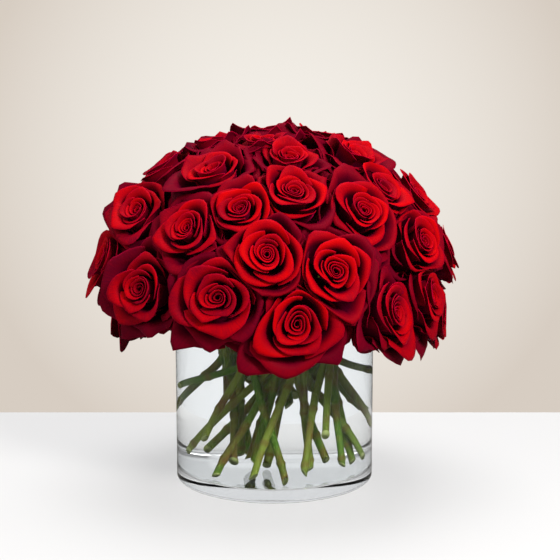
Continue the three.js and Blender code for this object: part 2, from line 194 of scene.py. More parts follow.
# Stems: leaf scars with a swelling, a slight zigzag from scar to scar, and sepals under the rose
FINE_STEPS = 120
STEM_STEP = 2.8 * MM
STEM_SIDES = 14
STEM_SLIM = 0.95  # the stem between its scars, and what a scar adds, as shares of the stem's radius
SWELLING = 0.28
SCAR_GAP = 44 * MM
SCAR_WIDTH = 2.4 * MM
CUT_TURN = 70  # how far to either side of the front the slanted cut of a foot may face, in degrees
HIP_TAPER = 26 * MM
ZIGZAG = 0.7 * MM
ACROSS = Vector((0.6, 0.8, 0))
SEPALS = 5
SEPAL_HALF_WIDTH = 3.2
SEPAL_LINE = [(4.5, -0.5), (10, -0.5), (15.5, -2.5), (20, -7)]


def scatter(seed):
    """A number between 0 and 1 that is always the same for the same seed."""
    wave = math.sin(seed * 12.9898) * 43758.5453
    return wave - math.floor(wave)


def spread_scatter(seed):
    return 2 * scatter(seed) - 1


def smooth_between(value, low, high):
    share = min(max((value - low) / (high - low), 0), 1)
    return share * share * (3 - 2 * share)


# Where the roses are and which way they face
def direction(azimuth, elevation):
    turn, lift = math.radians(azimuth), math.radians(elevation)
    return Vector((math.sin(turn) * math.cos(lift), -math.cos(turn) * math.cos(lift), math.sin(lift)))


def read_roses():
    roses = []
    for index, measures in enumerate(ROSES_IN_FRONT + ROSES_BEHIND):
        azimuth, elevation, reach, half_width, turn, droop = measures
        heart = FOCUS + direction(azimuth, elevation) * reach * MM
        axis = direction(azimuth + turn, elevation - droop)
        facing = UP.rotation_difference(axis)
        facing = facing @ Quaternion(UP, 2 * math.pi * scatter(index + 1))
        roses.append(SimpleNamespace(
            index=index, azimuth=azimuth, elevation=elevation, axis=axis, facing=facing,
            size=half_width / NATURAL_HALF_WIDTH,
            base=heart - axis * ROSE_DEPTH, cup=heart - axis * CUP_DEPTH))
    for rose in roses:
        others = [other for other in roses if other is not rose]
        others.sort(key=lambda other: (other.cup - rose.cup).length)
        rose.neighbours = [other.cup - rose.cup for other in others[:NEIGHBOURS]]
    return roses


def room_beside(rose, height, sideways):
    """How far sideways a rose may spread at one height: as far as the plane half way to each neighbour."""
    start = rose.base + rose.axis * height - rose.cup
    room = math.inf
    for across in rose.neighbours:
        towards = across.dot(sideways)
        if towards > 0:
            gap = ROSE_GAP * across.length
            room = min(room, (across.length_squared / 2 - across.dot(start) - gap) / towards)
    return room


# The stems, from the rose's hip down over the rim, through the neck to the foot
def gather_bunches(roses):
    bunches = []
    crown = [rose for rose in roses if rose.elevation > CROWN_ABOVE]
    sides = [rose for rose in roses if rose.elevation <= CROWN_ABOVE]
    for zone in (crown, sides):
        zone.sort(key=lambda rose: rose.azimuth)
        bunches += [zone[i:i + BUNCH_SIZE] for i in range(0, len(zone), BUNCH_SIZE)]
    return bunches


def full_angle(flat):
    return math.atan2(-flat.y, -flat.x) + math.pi


def place_neck(bunches):
    middles = []
    for bunch in bunches:
        for rose in bunch:
            turn = math.radians(rose.azimuth)
            out = NECK_RADIUS * (1 - rose.elevation / 90)
            rose.flat = Vector((math.sin(turn) * out, -math.cos(turn) * out))
        middles.append(sum((rose.flat for rose in bunch), Vector((0, 0))) / len(bunch))
    for _ in range(NECK_ROUNDS):
        for a in middles:
            for b in middles:
                apart = (a - b).length
                if a is b or apart >= BUNCH_PITCH:
                    continue
                push = (b - a) * ((BUNCH_PITCH - apart) / apart * NECK_PUSH)
                a -= push
                b += push
        for middle in middles:
            if middle.length > NECK_RADIUS - 2 * STEM_RADIUS:
                middle *= (NECK_RADIUS - 2 * STEM_RADIUS) / middle.length
    for bunch, middle in zip(bunches, middles):
        ordered = sorted(bunch, key=lambda rose: full_angle(rose.flat - middle))
        first = full_angle(ordered[0].flat - middle)
        ring_radius = BUNCH_PRESSED / 2 / math.sin(math.pi / len(bunch))
        for n, rose in enumerate(ordered):
            angle = first + 2 * math.pi * n / len(bunch)
            rose.in_bunch = Vector((math.cos(angle), math.sin(angle), 0)) * ring_radius
            rose.neck = middle + rose.in_bunch.xy


def bezier(a, b, c, d, t):
    s = 1 - t
    return a * s ** 3 + b * 3 * s * s * t + c * 3 * s * t * t + d * t ** 3


def foot_of(rose):
    for number, x, y, z in FEET_SEEN:
        if number == rose.index + 1:
            return Vector((x, y, z)) * MM
    seed = 7 * rose.index
    plan = rose.neck * (FEET_SPREAD / NECK_RADIUS)
    plan.rotate(Matrix.Rotation(math.radians(FEET_TWIST * spread_scatter(seed + 1)), 2))
    plan += Vector((spread_scatter(seed + 2), spread_scatter(seed + 3))) * FEET_WANDER
    return Vector((plan.x, plan.y, FEET_LOWEST + (FEET_HIGHEST - FEET_LOWEST) * scatter(seed + 4)))


def stem_line(rose):
    neck = Vector((rose.neck.x, rose.neck.y, NECK_HEIGHT))
    foot = foot_of(rose)
    top = rose.base - rose.axis * CLEARANCE
    hip_end = rose.base - rose.axis * (CLEARANCE + HIP_LENGTH)
    downwards = (foot - neck).normalized()
    way = (hip_end - neck).length
    leave = rose.base - rose.axis * (BEND_LEAVING * way)
    leave.z = max(leave.z, VASE_HEIGHT + BEND_OVER_RIM)
    arrive = neck - downwards * (BEND_ARRIVING * way)
    bend = [bezier(hip_end, leave, arrive, neck, k / STEM_BENDS) for k in range(STEM_BENDS + 1)]
    return [top, *bend, foot]


def closest(a, b, c, d):
    """The closest places on two straight stretches, as the share along each, and the way between them."""
    p, q, r = b - a, d - c, a - c
    pp, qq, pq, pr, qr = p.dot(p), q.dot(q), p.dot(q), p.dot(r), q.dot(r)
    flat = pp * qq - pq * pq
    s = min(max((pq * qr - pr * qq) / flat, 0), 1) if flat > PARALLEL else 0
    t = min(max((pq * s + qr) / qq, 0), 1)
    s = min(max((pq * t - pr) / pp, 0), 1)
    return s, t, (c + q * t) - (a + p * s)


def nudge(line, k, share, move):
    if k >= FIXED_POINTS:
        line[k] += move * (1 - share)
    if k + 1 >= FIXED_POINTS:
        line[k + 1] += move * share


def close_stretches(lines, groups):
    """The pairs of stretches of different bunches that lie close enough to look at one by one."""
    points = np.array([[tuple(point) for point in line] for line in lines])
    start, end = points[:, :-1], points[:, 1:]
    a, c = start[:, None, :, None], start[None, :, None, :]
    p, q = (end - start)[:, None, :, None], (end - start)[None, :, None, :]
    r = a - c
    pp, qq, pq = (p * p).sum(-1), (q * q).sum(-1), (p * q).sum(-1)
    pr, qr = (p * r).sum(-1), (q * r).sum(-1)
    flat = np.maximum(pp * qq - pq * pq, PARALLEL)
    s = np.clip((pq * qr - pr * qq) / flat, 0, 1)
    t = np.clip((pq * s + qr) / qq, 0, 1)
    s = np.clip((pq * t - pr) / pp, 0, 1)
    apart = np.linalg.norm((c + q * t[..., None]) - (a + p * s[..., None]), axis=-1)
    near = apart < NEARBY
    near &= (groups[:, None] != groups[None, :])[:, :, None, None]
    near &= (np.arange(len(lines))[:, None] < np.arange(len(lines))[None, :])[:, :, None, None]
    return np.argwhere(near)


def settle_stems(bunches):
    """Stems of different bunches push each other aside until they pass with some room."""
    lines = [rose.line for bunch in bunches for rose in bunch]
    groups = np.array([group for group, bunch in enumerate(bunches) for _ in bunch])
    for _ in range(STEM_ROUNDS):
        for i, j, k, m in close_stretches(lines, groups):
            first, second = lines[i], lines[j]
            s, t, between = closest(first[k], first[k + 1], second[m], second[m + 1])
            apart = between.length
            if TOUCHING < apart < STEM_SPACING:
                push = between * ((STEM_SPACING - apart) / apart * STEM_PUSH)
                nudge(second, m, t, push)
                nudge(first, k, s, -push)
        for line in lines:
            keep_in_vase(line)
        for bunch in bunches:
            keep_together(bunch)


def keep_in_vase(line):
    for k in range(FIXED_POINTS, len(line)):
        point = line[k]
        out = math.hypot(point.x, point.y)
        if point.z < VASE_HEIGHT and out > WALL_ROOM:
            point.x *= WALL_ROOM / out
            point.y *= WALL_ROOM / out
        point.z = max(point.z, VASE_BASE + FEET_ABOVE_BASE if k == len(line) - 1 else 0)
    for k in range(len(line) - 1):
        lift_over_rim(line, k)


def lift_over_rim(line, k):
    outer, inner = (math.hypot(point.x, point.y) for point in line[k:k + 2])
    for wall_side in (VASE_RADIUS, VASE_RADIUS - VASE_WALL):
        if outer == inner:
            continue
        share = (outer - wall_side) / (outer - inner)
        if not 0 <= share <= 1:
            continue
        lack = OVER_RIM - (line[k].z + (line[k + 1].z - line[k].z) * share)
        if lack > 0:
            nudge(line, k, share, UP * lack)


def keep_together(bunch):
    middle = sum((rose.line[NECK_POINT] for rose in bunch), Vector()) / len(bunch)
    middle.z = NECK_HEIGHT
    for rose in bunch:
        rose.line[NECK_POINT] = middle + rose.in_bunch


# Shaping
def new_piece(name, bm, materials, replaced):
    """Turns a bmesh into a piece that rides with the arrangement in place of its solid."""
    mesh = bpy.data.meshes.new(name)
    for face in bm.faces:
        face.smooth = True
    bm.to_mesh(mesh)
    bm.free()
    piece = bpy.data.objects.new(name, mesh)
    bpy.context.scene.collection.objects.link(piece)
    for material in materials:
        mesh.materials.append(material)
    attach(piece, "root")
    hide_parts(replaced)
    return piece


def through(points, share):
    """A smooth curve through points, at a share of the way from the first to the last."""
    place = min(max(share, 0), 1) * (len(points) - 1)
    k = min(int(place), len(points) - 2)
    t = place - k
    before, start, end, after = (points[min(max(i, 0), len(points) - 1)] for i in range(k - 1, k + 3))
    return 0.5 * (2 * start + (end - before) * t + (2 * before - 5 * start + 4 * end - after) * t * t
                  + (3 * start - before - 3 * end + after) * t ** 3)


def pressed(out, room):
    """Petals keep their natural spread while there is room, and crowd together against a neighbour."""
    room = max(room, LEAST_ROOM)
    free = FREE_SHARE * room
    if out <= free:
        return out
    return free + (room - free) * math.tanh((out - free) / (room - free))


def petal_at(share):
    """The measures of a petal at a share of the way from the heart to the skirt."""
    k = next(i for i in range(1, len(PETALS)) if share <= PETALS[i]["at"])
    inner, outer = PETALS[k - 1], PETALS[k]
    t = (share - inner["at"]) / (outer["at"] - inner["at"])
    mixed = {name: inner[name] + (outer[name] - inner[name]) * t for name in inner if name != "line"}
    mixed["line"] = [Vector(a).lerp(Vector(b), t) for a, b in zip(inner["line"], outer["line"])]
    return SimpleNamespace(**mixed)


def petal_from(measures):
    return SimpleNamespace(**{**measures, "line": [Vector(point) for point in measures["line"]]})


def petal_place(petal, u, v):
    """Where a point of a petal lies: u from -1 to 1 across it, v from 0 to 1 up to its tip."""
    side = abs(u)
    fall = petal.fall * (1 + 0.35 * petal.skew * u)
    out, up = through(petal.line, v * (1 - fall * side ** petal.point))
    width = 0.45 + 0.55 * math.sin(math.pi / 2 * min(1, v / 0.6))
    angle = u * math.radians(petal.wrap) * width
    out *= 1 + petal.tuck * u + petal.peak * v * (0.5 - math.sqrt(u * u + 0.01))
    top = smooth_between(v, WAVES_FROM, 1)
    turned_out = top * (0.1 + 0.9 * min(1, side / 0.5)) + smooth_between(side, 0.6, 1) * v
    out += petal.ruffle * (turned_out + top * (petal.lean + 0.4 * math.sin(5 * u + petal.phase)))
    up += v * petal.lift + petal.ruffle * top * (0.3 * math.sin(4 * u + 2 * petal.phase) - 0.6 * turned_out)
    beside_tip = abs(u - petal.tip_side) / TIP_HALF_WIDTH
    drawn = petal.tip * smooth_between(v, TIP_FROM, 1) * max(0, 1 - beside_tip) ** TIP_SHARPNESS
    out += drawn * (0.8 - 0.6 * petal.upright)
    up += drawn * (0.1 + 0.8 * petal.upright)
    return out, angle, up


def add_petal(bm, rose, petal, tone, depth):
    grid = bmesh.ops.create_grid(
        bm, x_segments=PETAL_ACROSS, y_segments=PETAL_ALONG, size=1, calc_uvs=True)["verts"]
    for vert in grid:
        out, angle, up = petal_place(petal, vert.co.x, (vert.co.y + 1) / 2)
        angle += petal.middle
        oval = (OVAL - LESS_OVAL * petal.share) * math.cos(2 * angle + rose.phase + petal.share)
        three_sided = THREE_SIDED * math.cos(3 * angle + 2 * rose.phase - 3 * petal.share)
        out *= 1 + rose.uneven * (oval + three_sided)
        height = up * MM
        sideways = rose.facing @ Vector((math.cos(angle), math.sin(angle), 0))
        room = room_beside(rose, height, sideways)
        reach = out * rose.size * MM
        if petal.share > GUARDS_FROM:
            reach *= SHORT_GUARDS.get(rose.index + 1, 1)
            wider = min(max(room / (GUARD_REACH * rose.size) - 1, 0), GUARD_STRETCH)
            reach *= 1 + wider * smooth_between(room, ALONE, CROWDED)
        reach = pressed(reach, petal.overlap * room)
        vert.co = rose.base + rose.axis * height + sideways * reach
        vert[tone] = petal.tone
        vert[depth] = petal.share


def add_shade_disc(bm, rose, tone, depth):
    """A small disc painted fully dark, as the shade deep in the rose, that hides the hip and the sepals from
    between the petals.
    """
    disc = bmesh.ops.create_circle(
        bm, cap_ends=True, segments=SHADE_DISC_SIDES, radius=SHADE_DISC_RADIUS)["verts"]
    for vert in disc:
        vert.co = rose.base + rose.axis * SHADE_DISC_HEIGHT + rose.facing @ vert.co
        # painted shade: the darkest tone and the darkest skirt colour
        vert[tone] = 1
        vert[depth] = 1


def build_bloom(rose, petal_materials):
    bm = bmesh.new()
    bm.loops.layers.uv.new("petal")
    tone = bm.verts.layers.float.new("tone")
    depth = bm.verts.layers.float.new("depth")
    openness = 0.85 + 0.3 * scatter(rose.index + 40)
    sunk = 4 * scatter(rose.index + 60)
    upright = smooth_between(rose.elevation, *UPRIGHT)
    shoulder = smooth_between(rose.elevation, *SHOULDER_FROM)
    shoulder *= 1 - smooth_between(rose.elevation, *SHOULDER_TO)
    shoulder *= smooth_between(abs(rose.azimuth), *SHOULDER_BESIDE)
    rose.phase = 2 * math.pi * scatter(rose.index + 80)
    rose.uneven = 0.6 + 0.8 * scatter(rose.index + 90)
    for n in range(PETAL_COUNT + UNDER_COUNT):
        seed = 100 * (rose.index + 1) + 1.37 * n
        if n < PETAL_COUNT:
            share = (n / (PETAL_COUNT - 1)) ** openness
            petal = petal_at(share * (1 - 0.3 * upright))
        else:
            share = 1
            petal = petal_from(UNDER_PETALS)
        petal.share = share
        petal.upright = upright
        # the petal's tone: random, plus painted shade on the roses on the shaded side of the bouquet
        petal.tone = scatter(seed) + SHADED_ROSES.get(rose.index + 1, 0.3 * scatter(rose.index + 70))
        petal.middle = n * GOLDEN_ANGLE + 0.3 * spread_scatter(seed + 1)
        petal.phase = 2 * math.pi * scatter(seed + 2)
        petal.lean = 1.2 * spread_scatter(seed + 3)
        petal.skew = spread_scatter(seed + 6)
        petal.tip *= (0.5 + 1.3 * scatter(seed + 9)) * (1 + 0.8 * max(upright, shoulder))
        petal.tip_side = 0.2 * spread_scatter(seed + 7)
        petal.ruffle *= 1 + 0.8 * upright + 0.5 * shoulder
        petal.lift = (1 + 2 * share + 5 * upright * share) * spread_scatter(seed + 4)
        petal.lift += 5 * shoulder * share - sunk * (1 - share) ** 2
        guard = smooth_between(share, GUARDS_FROM, GUARDS_FROM + 0.1)
        petal.overlap = 1 + GUARD_OVERLAP * guard + 0.03 * spread_scatter(seed + 8)
        petal.wrap *= 1 + 0.12 * spread_scatter(seed + 5)
        add_petal(bm, rose, petal, tone, depth)
    add_shade_disc(bm, rose, tone, depth)
    number = f"{rose.index + 1:02d}"
    bloom = new_piece(f"rose_{number}", bm, petal_materials, f"bloom_{number}")
    wall = bloom.modifiers.new("petal_thickness", "SOLIDIFY")
    wall.thickness = PETAL_THICKNESS
    wall.offset = -1
    wall.material_offset = 1
    wall.material_offset_rim = 2


def ring_matrix(point, along, radius):
    """Puts a flat unit ring round a point, square to a direction."""
    turn = UP.rotation_difference(along).to_matrix().to_4x4()
    return Matrix.Translation(point) @ turn @ Matrix.Diagonal((radius, radius, 1, 1))


def even_path(line):
    """The middle line of a stem in even steps, and the length of a step."""
    fine = [through(line, k / FINE_STEPS) for k in range(FINE_STEPS + 1)]
    lengths = [0.0]
    for a, b in zip(fine, fine[1:]):
        lengths.append(lengths[-1] + (b - a).length)
    steps = round(lengths[-1] / STEM_STEP)
    path = []
    for n in range(steps + 1):
        reached = lengths[-1] * n / steps
        k = next((i for i in range(FINE_STEPS) if lengths[i + 1] >= reached), FINE_STEPS - 1)
        path.append(fine[k].lerp(fine[k + 1], (reached - lengths[k]) / (lengths[k + 1] - lengths[k])))
    return path, lengths[-1] / steps


def add_stem(bm, rose, cut, scar, tone):
    """A round stem with a swelling at each leaf scar, a hip under the rose and a slanted cut at its foot."""
    path, step = even_path(rose.line)
    last = len(path) - 1
    seed = 31 * (rose.index + 1)
    scar_gap = SCAR_GAP * (0.8 + 0.5 * scatter(seed))
    ring = bmesh.ops.create_circle(bm, segments=STEM_SIDES, radius=1, cap_ends=False)["verts"]
    edges = list({edge for vert in ring for edge in vert.link_edges})
    old = Matrix.Identity(4)
    for k, point in enumerate(path):
        along = (path[max(k - 1, 0)] - path[min(k + 1, last)]).normalized()
        scars = k * step / scar_gap + scatter(seed + 3)
        from_scar = (scars - round(scars)) * scar_gap
        swelling = math.exp(-(from_scar / SCAR_WIDTH) ** 2)
        hip = max(0, 1 - k * step / HIP_TAPER) ** 1.5
        radius = STEM_RADIUS * (STEM_SLIM + SWELLING * swelling) * (1 - hip) + HIP_RADIUS * hip
        zigzag = along.cross(ACROSS).normalized() * (ZIGZAG * math.cos(math.pi * scars) * (1 - hip))
        new = ring_matrix(point + zigzag, along, radius)
        if k:
            grown = bmesh.ops.extrude_edge_only(bm, edges=edges)["geom"]
            ring = [part for part in grown if isinstance(part, bmesh.types.BMVert)]
            edges = [part for part in grown if isinstance(part, bmesh.types.BMEdge)]
        bmesh.ops.transform(bm, matrix=new @ old.inverted(), verts=ring)
        old = new
        for vert in ring:
            vert[scar] = swelling
            vert[tone] = scatter(seed + 5)
        if k == 0:
            top = edges[:]
    bmesh.ops.contextual_create(bm, geom=top)
    facing = math.radians(CUT_TURN * spread_scatter(seed + 1))
    towards = Vector((math.sin(facing), -math.cos(facing), 0))
    for vert in ring:
        vert.co += along * (vert.co - path[-1]).dot(towards) * (0.8 + 0.6 * scatter(seed + 2))
    for face in bmesh.ops.contextual_create(bm, geom=edges)["faces"]:
        face[cut] = 1


def add_sepals(bm, rose, tone):
    """The five pointed green sepals that hang back from the hip under the petals."""
    for n in range(SEPALS):
        seed = 17 * rose.index + n
        turn = Quaternion(UP, 2 * math.pi * (n + 0.3 * scatter(seed)) / SEPALS)
        leaf = bmesh.ops.create_uvsphere(bm, u_segments=8, v_segments=10, radius=1)["verts"]
        for vert in leaf:
            v = (vert.co.z + 1) / 2
            out, up = through([Vector(point) for point in SEPAL_LINE], v)
            across = vert.co.x * SEPAL_HALF_WIDTH * (1.3 - v)
            place = Vector((out, across, up + 0.3 * vert.co.y + 1.5 * vert.co.x ** 2)) * MM
            vert.co = rose.base + rose.facing @ (turn @ place)
            vert[tone] = 0.3 * scatter(seed + 1)


def build_stems(number, bunch, stem_material, cut_material):
    bm = bmesh.new()
    cut = bm.faces.layers.int.new("cut")
    scar = bm.verts.layers.float.new("scar")
    tone = bm.verts.layers.float.new("tone")
    for rose in bunch:
        add_stem(bm, rose, cut, scar, tone)
        add_sepals(bm, rose, tone)
    bmesh.ops.recalc_face_normals(bm, faces=bm.faces[:])
    for face in bm.faces:
        face.material_index = face[cut]
    materials = [stem_material, cut_material]
    new_piece(f"stem_bunch_{number:02d}", bm, materials, f"stems_{number:02d}")


def spun(profile):
    """A closed turned body from its profile of (radius, height, rounding of the corner).

    A point just past each end of a rounding keeps the flats between them true in the glass.
    """
    bm = bmesh.new()
    verts, corners = [], []
    for k, (radius, height, rounding) in enumerate(profile):
        corner = Vector((radius, 0, height))
        if not rounding:
            verts.append(bm.verts.new(corner))
            continue
        before, after = (Vector((end[0], 0, end[1])) - corner for end in (profile[k - 1], profile[k + 1]))
        verts.append(bm.verts.new(corner + before.normalized() * rounding * PAST_ROUNDING))
        verts.append(bm.verts.new(corner))
        corners.append((verts[-1], rounding))
        verts.append(bm.verts.new(corner + after.normalized() * rounding * PAST_ROUNDING))
    for a, b in zip(verts, verts[1:]):
        bm.edges.new((a, b))
    for vert, rounding in corners:
        bmesh.ops.bevel(bm, geom=[vert], offset=rounding, offset_type="OFFSET", segments=6,
                        affect="VERTICES", profile=0.5, material=-1)
    bmesh.ops.spin(bm, geom=bm.verts[:] + bm.edges[:], cent=(0, 0, 0), axis=(0, 0, 1),
                   angle=2 * math.pi, steps=SPIN_STEPS, use_merge=True)
    bmesh.ops.remove_doubles(bm, verts=bm.verts[:], dist=1e-6)
    bmesh.ops.recalc_face_normals(bm, faces=bm.faces[:])
    return bm


def build_vase(glass):
    inside = VASE_RADIUS - VASE_WALL
    profile = [(0, 0, 0), (VASE_RADIUS, 0, FOOT_ROUND), (VASE_RADIUS, VASE_HEIGHT, RIM_ROUND),
               (inside, VASE_HEIGHT, RIM_ROUND), (inside, VASE_BASE, FLOOR_ROUND), (0, VASE_BASE, 0)]
    new_piece("glass_vase", spun(profile), [glass], "vase")


def build_water(water):
    side = VASE_RADIUS - VASE_WALL + WATER_IN_GLASS
    bottom = VASE_BASE - WATER_IN_GLASS
    profile = [(0, bottom, 0), (side, bottom, FLOOR_ROUND), (side, WATER_LEVEL + MENISCUS_HEIGHT, 0.2 * MM),
               (side - MENISCUS_WIDTH, WATER_LEVEL, 0.5 * MM), (0, WATER_LEVEL, 0)]
    new_piece("vase_water", spun(profile), [water], "water")


# Finishes
BRIGHT_RED = (0.40, 0.0, 0.001)
CRIMSON = (0.24, 0.0, 0.003)
DARK_CRIMSON = (0.14, 0.0, 0.006)
PLUM = (0.055, 0.0, 0.009)
PINK_RIM = (0.40, 0.0, 0.03)
PINK_SHEEN = (0.7, 0.0, 0.09, 1)
SKIRT_FROM = 0.52  # a share of the way outwards from the heart of the rose
# below SHADED_BELOW of the way up, a petal is painted darker as the shade in the grooves between petals
SHADED_BELOW = 0.88  # shares of the way up a petal
RIM_FROM = 0.95
LEAF_GREEN = (0.040, 0.115, 0.008)
YELLOW_GREEN = (0.125, 0.17, 0.022)
SCAR_BROWN = (0.105, 0.06, 0.014)
LIGHT_STREAK = (0.22, 0.31, 0.06)
CUT_FIBRE = (0.20, 0.27, 0.08)
CUT_PITH = (0.34, 0.40, 0.17)
WET_IOR = 1.12  # stems shine less under water than in air
CLEAR_TINT = (0.985, 0.992, 0.99)
# the dark grey painted into the glass at glancing angles, as a painted reflection of a dark room
PAINTED_EDGE_REFLECTION = (0.30, 0.31, 0.33)
GLASS_IOR = 1.5
WATER_IOR = 1.33


class Nodes:
    """A short way to place and wire shader nodes."""

    def __init__(self, tree):
        self.tree = tree

    def add(self, kind, **settings):
        node = self.tree.nodes.new(kind)
        for name, value in settings.items():
            setattr(node, name, value)
        return node

    def wire(self, source, target):
        self.tree.links.new(source, target)

    def math(self, operation, a, b, clamp=False):
        node = self.add("ShaderNodeMath", operation=operation, use_clamp=clamp)
        for socket, value in zip(node.inputs, (a, b)):
            if isinstance(value, (int, float)):
                socket.default_value = value
            else:
                self.wire(value, socket)
        return node.outputs[0]

    def above(self, value, limit, steepness):
        """How far a value lies above a limit, times a steepness, held between 0 and 1."""
        return self.math("MULTIPLY", self.math("SUBTRACT", value, limit), steepness, clamp=True)

    def blend(self, share, a, b):
        node = self.add("ShaderNodeMix", data_type="RGBA")
        for socket, value in zip((node.inputs[0], node.inputs[6], node.inputs[7]), (share, a, b)):
            if isinstance(value, bpy.types.NodeSocket):
                self.wire(value, socket)
            elif isinstance(value, tuple):
                socket.default_value = (*value, 1)
            else:
                socket.default_value = value
        return node.outputs[2]

    def noise(self, vector, scale, detail):
        node = self.add("ShaderNodeTexNoise")
        node.inputs["Scale"].default_value = scale
        node.inputs["Detail"].default_value = detail
        self.wire(vector, node.inputs["Vector"])
        return node.outputs["Fac"]

    def stretched(self, vector, scale):
        node = self.add("ShaderNodeMapping")
        node.inputs["Scale"].default_value = scale
        self.wire(vector, node.inputs["Vector"])
        return node.outputs[0]

    def grain(self, group, stretch, along=None):
        """The plant grain, streaked along a vector, which is the place on the object if none is given."""
        place = self.add("ShaderNodeTexCoord").outputs["Object"]
        node = self.add("ShaderNodeGroup", node_tree=group)
        streaked = self.stretched(place if along is None else along, stretch)
        self.wire(streaked, node.inputs["Streak Vector"])
        self.wire(place, node.inputs["Place"])
        return node

    def bump(self, shader, height, strength, distance):
        node = self.add("ShaderNodeBump")
        node.inputs["Strength"].default_value = strength
        node.inputs["Distance"].default_value = distance
        self.wire(height, node.inputs["Height"])
        self.wire(node.outputs[0], shader.inputs["Normal"])


def new_material(name):
    material = bpy.data.materials.new(name)
    material.use_nodes = True
    nodes = Nodes(material.node_tree)
    shader = next(node for node in material.node_tree.nodes if node.type == "BSDF_PRINCIPLED")
    return material, nodes, shader


def new_group(name, inputs, outputs):
    group = bpy.data.node_groups.new(name, "ShaderNodeTree")
    for label, kind in inputs:
        group.interface.new_socket(label, in_out="INPUT", socket_type=kind)
    for label, kind in outputs:
        group.interface.new_socket(label, in_out="OUTPUT", socket_type=kind)
    nodes = Nodes(group)
    return group, nodes, nodes.add("NodeGroupInput"), nodes.add("NodeGroupOutput")


def plant_grain_group():
    """Fine lengthwise streaks with some slow mottling, for petals and stems alike."""
    group, nodes, given, result = new_group(
        "plant_grain",
        [("Streak Vector", "NodeSocketVector"), ("Place", "NodeSocketVector")],
        [("Grain", "NodeSocketFloat"), ("Mottling", "NodeSocketFloat")])
    streaks = nodes.noise(given.outputs["Streak Vector"], 1.0, 2.0)
    nodes.wire(nodes.math("SUBTRACT", streaks, 0.5), result.inputs["Grain"])
    patches = nodes.noise(given.outputs["Place"], 45.0, 3.0)
    nodes.wire(nodes.math("SUBTRACT", patches, 0.5), result.inputs["Mottling"])
    return group


def velvet_petal(name, grain, heart, skirt, shade, rim_colour, rim_share, sheen):
    """Petal skin: veined along the petal, brighter in the heart of the rose and darker at its skirt, partly
    in its own colour and partly as painted shade, and painted darker low on each petal as the shade in the
    grooves.
    """
    material, nodes, shader = new_material(name)
    uv = nodes.add("ShaderNodeUVMap", uv_map="petal")
    split = nodes.add("ShaderNodeSeparateXYZ")
    nodes.wire(uv.outputs[0], split.inputs[0])
    tone = nodes.add("ShaderNodeAttribute", attribute_name="tone")
    depth = nodes.add("ShaderNodeAttribute", attribute_name="depth")
    plant = nodes.grain(grain, (70, 4, 1), uv.outputs[0])
    up_petal = split.outputs["Y"]
    # darker towards the skirt of the rose: partly the petals' own colour, partly painted shade round the cup
    colour = nodes.blend(nodes.above(depth.outputs["Fac"], SKIRT_FROM, 5), heart, skirt)
    uneven = nodes.math("ADD", nodes.math("MULTIPLY", plant.outputs["Grain"], 0.8),
                        plant.outputs["Mottling"])
    # the tone darkens at random, and also carries painted shade: the roses on the shaded side and the disc
    # deep in each rose
    uneven = nodes.math("ADD", uneven, nodes.math("MULTIPLY", tone.outputs["Fac"], 0.4), clamp=True)
    # painted shade: petals darker low down, where the grooves between them lie
    foot = nodes.above(SHADED_BELOW, up_petal, 3)
    colour = nodes.blend(nodes.math("MAXIMUM", uneven, foot), colour, shade)
    rim = nodes.above(up_petal, RIM_FROM, 20)
    colour = nodes.blend(nodes.math("MULTIPLY", rim, rim_share), colour, rim_colour)
    nodes.wire(colour, shader.inputs["Base Color"])
    nodes.bump(shader, plant.outputs["Grain"], 0.3, 0.3 * MM)
    shader.inputs["Roughness"].default_value = 0.6
    shader.inputs["Specular IOR Level"].default_value = 0.02
    shader.inputs["Sheen Weight"].default_value = sheen
    shader.inputs["Sheen Roughness"].default_value = 0.4
    shader.inputs["Sheen Tint"].default_value = PINK_SHEEN
    return material


def green_stem(grain):
    material, nodes, shader = new_material("green_stem")
    plant = nodes.grain(grain, (900, 900, 60))
    scar = nodes.add("ShaderNodeAttribute", attribute_name="scar")
    tone = nodes.add("ShaderNodeAttribute", attribute_name="tone")
    colour = nodes.blend(tone.outputs["Fac"], LEAF_GREEN, YELLOW_GREEN)
    brown = nodes.math("ADD", nodes.math("MULTIPLY", plant.outputs["Mottling"], 5.2), 0.12, clamp=True)
    brown = nodes.math("MAXIMUM", brown, nodes.math("MULTIPLY", scar.outputs["Fac"], 0.8))
    colour = nodes.blend(brown, colour, SCAR_BROWN)
    light = nodes.math("MULTIPLY", plant.outputs["Grain"], 2.2, clamp=True)
    colour = nodes.blend(light, colour, LIGHT_STREAK)
    nodes.wire(colour, shader.inputs["Base Color"])
    nodes.bump(shader, plant.outputs["Grain"], 0.4, 0.5 * MM)
    shader.inputs["Roughness"].default_value = 0.45
    shader.inputs["IOR"].default_value = WET_IOR
    return material


def pale_cut(grain):
    material, nodes, shader = new_material("pale_cut_end")
    plant = nodes.grain(grain, (700, 700, 700))
    fibres = nodes.math("ADD", plant.outputs["Grain"], 0.4, clamp=True)
    nodes.wire(nodes.blend(fibres, CUT_FIBRE, CUT_PITH), shader.inputs["Base Color"])
    shader.inputs["Roughness"].default_value = 0.6
    shader.inputs["IOR"].default_value = WET_IOR
    return material


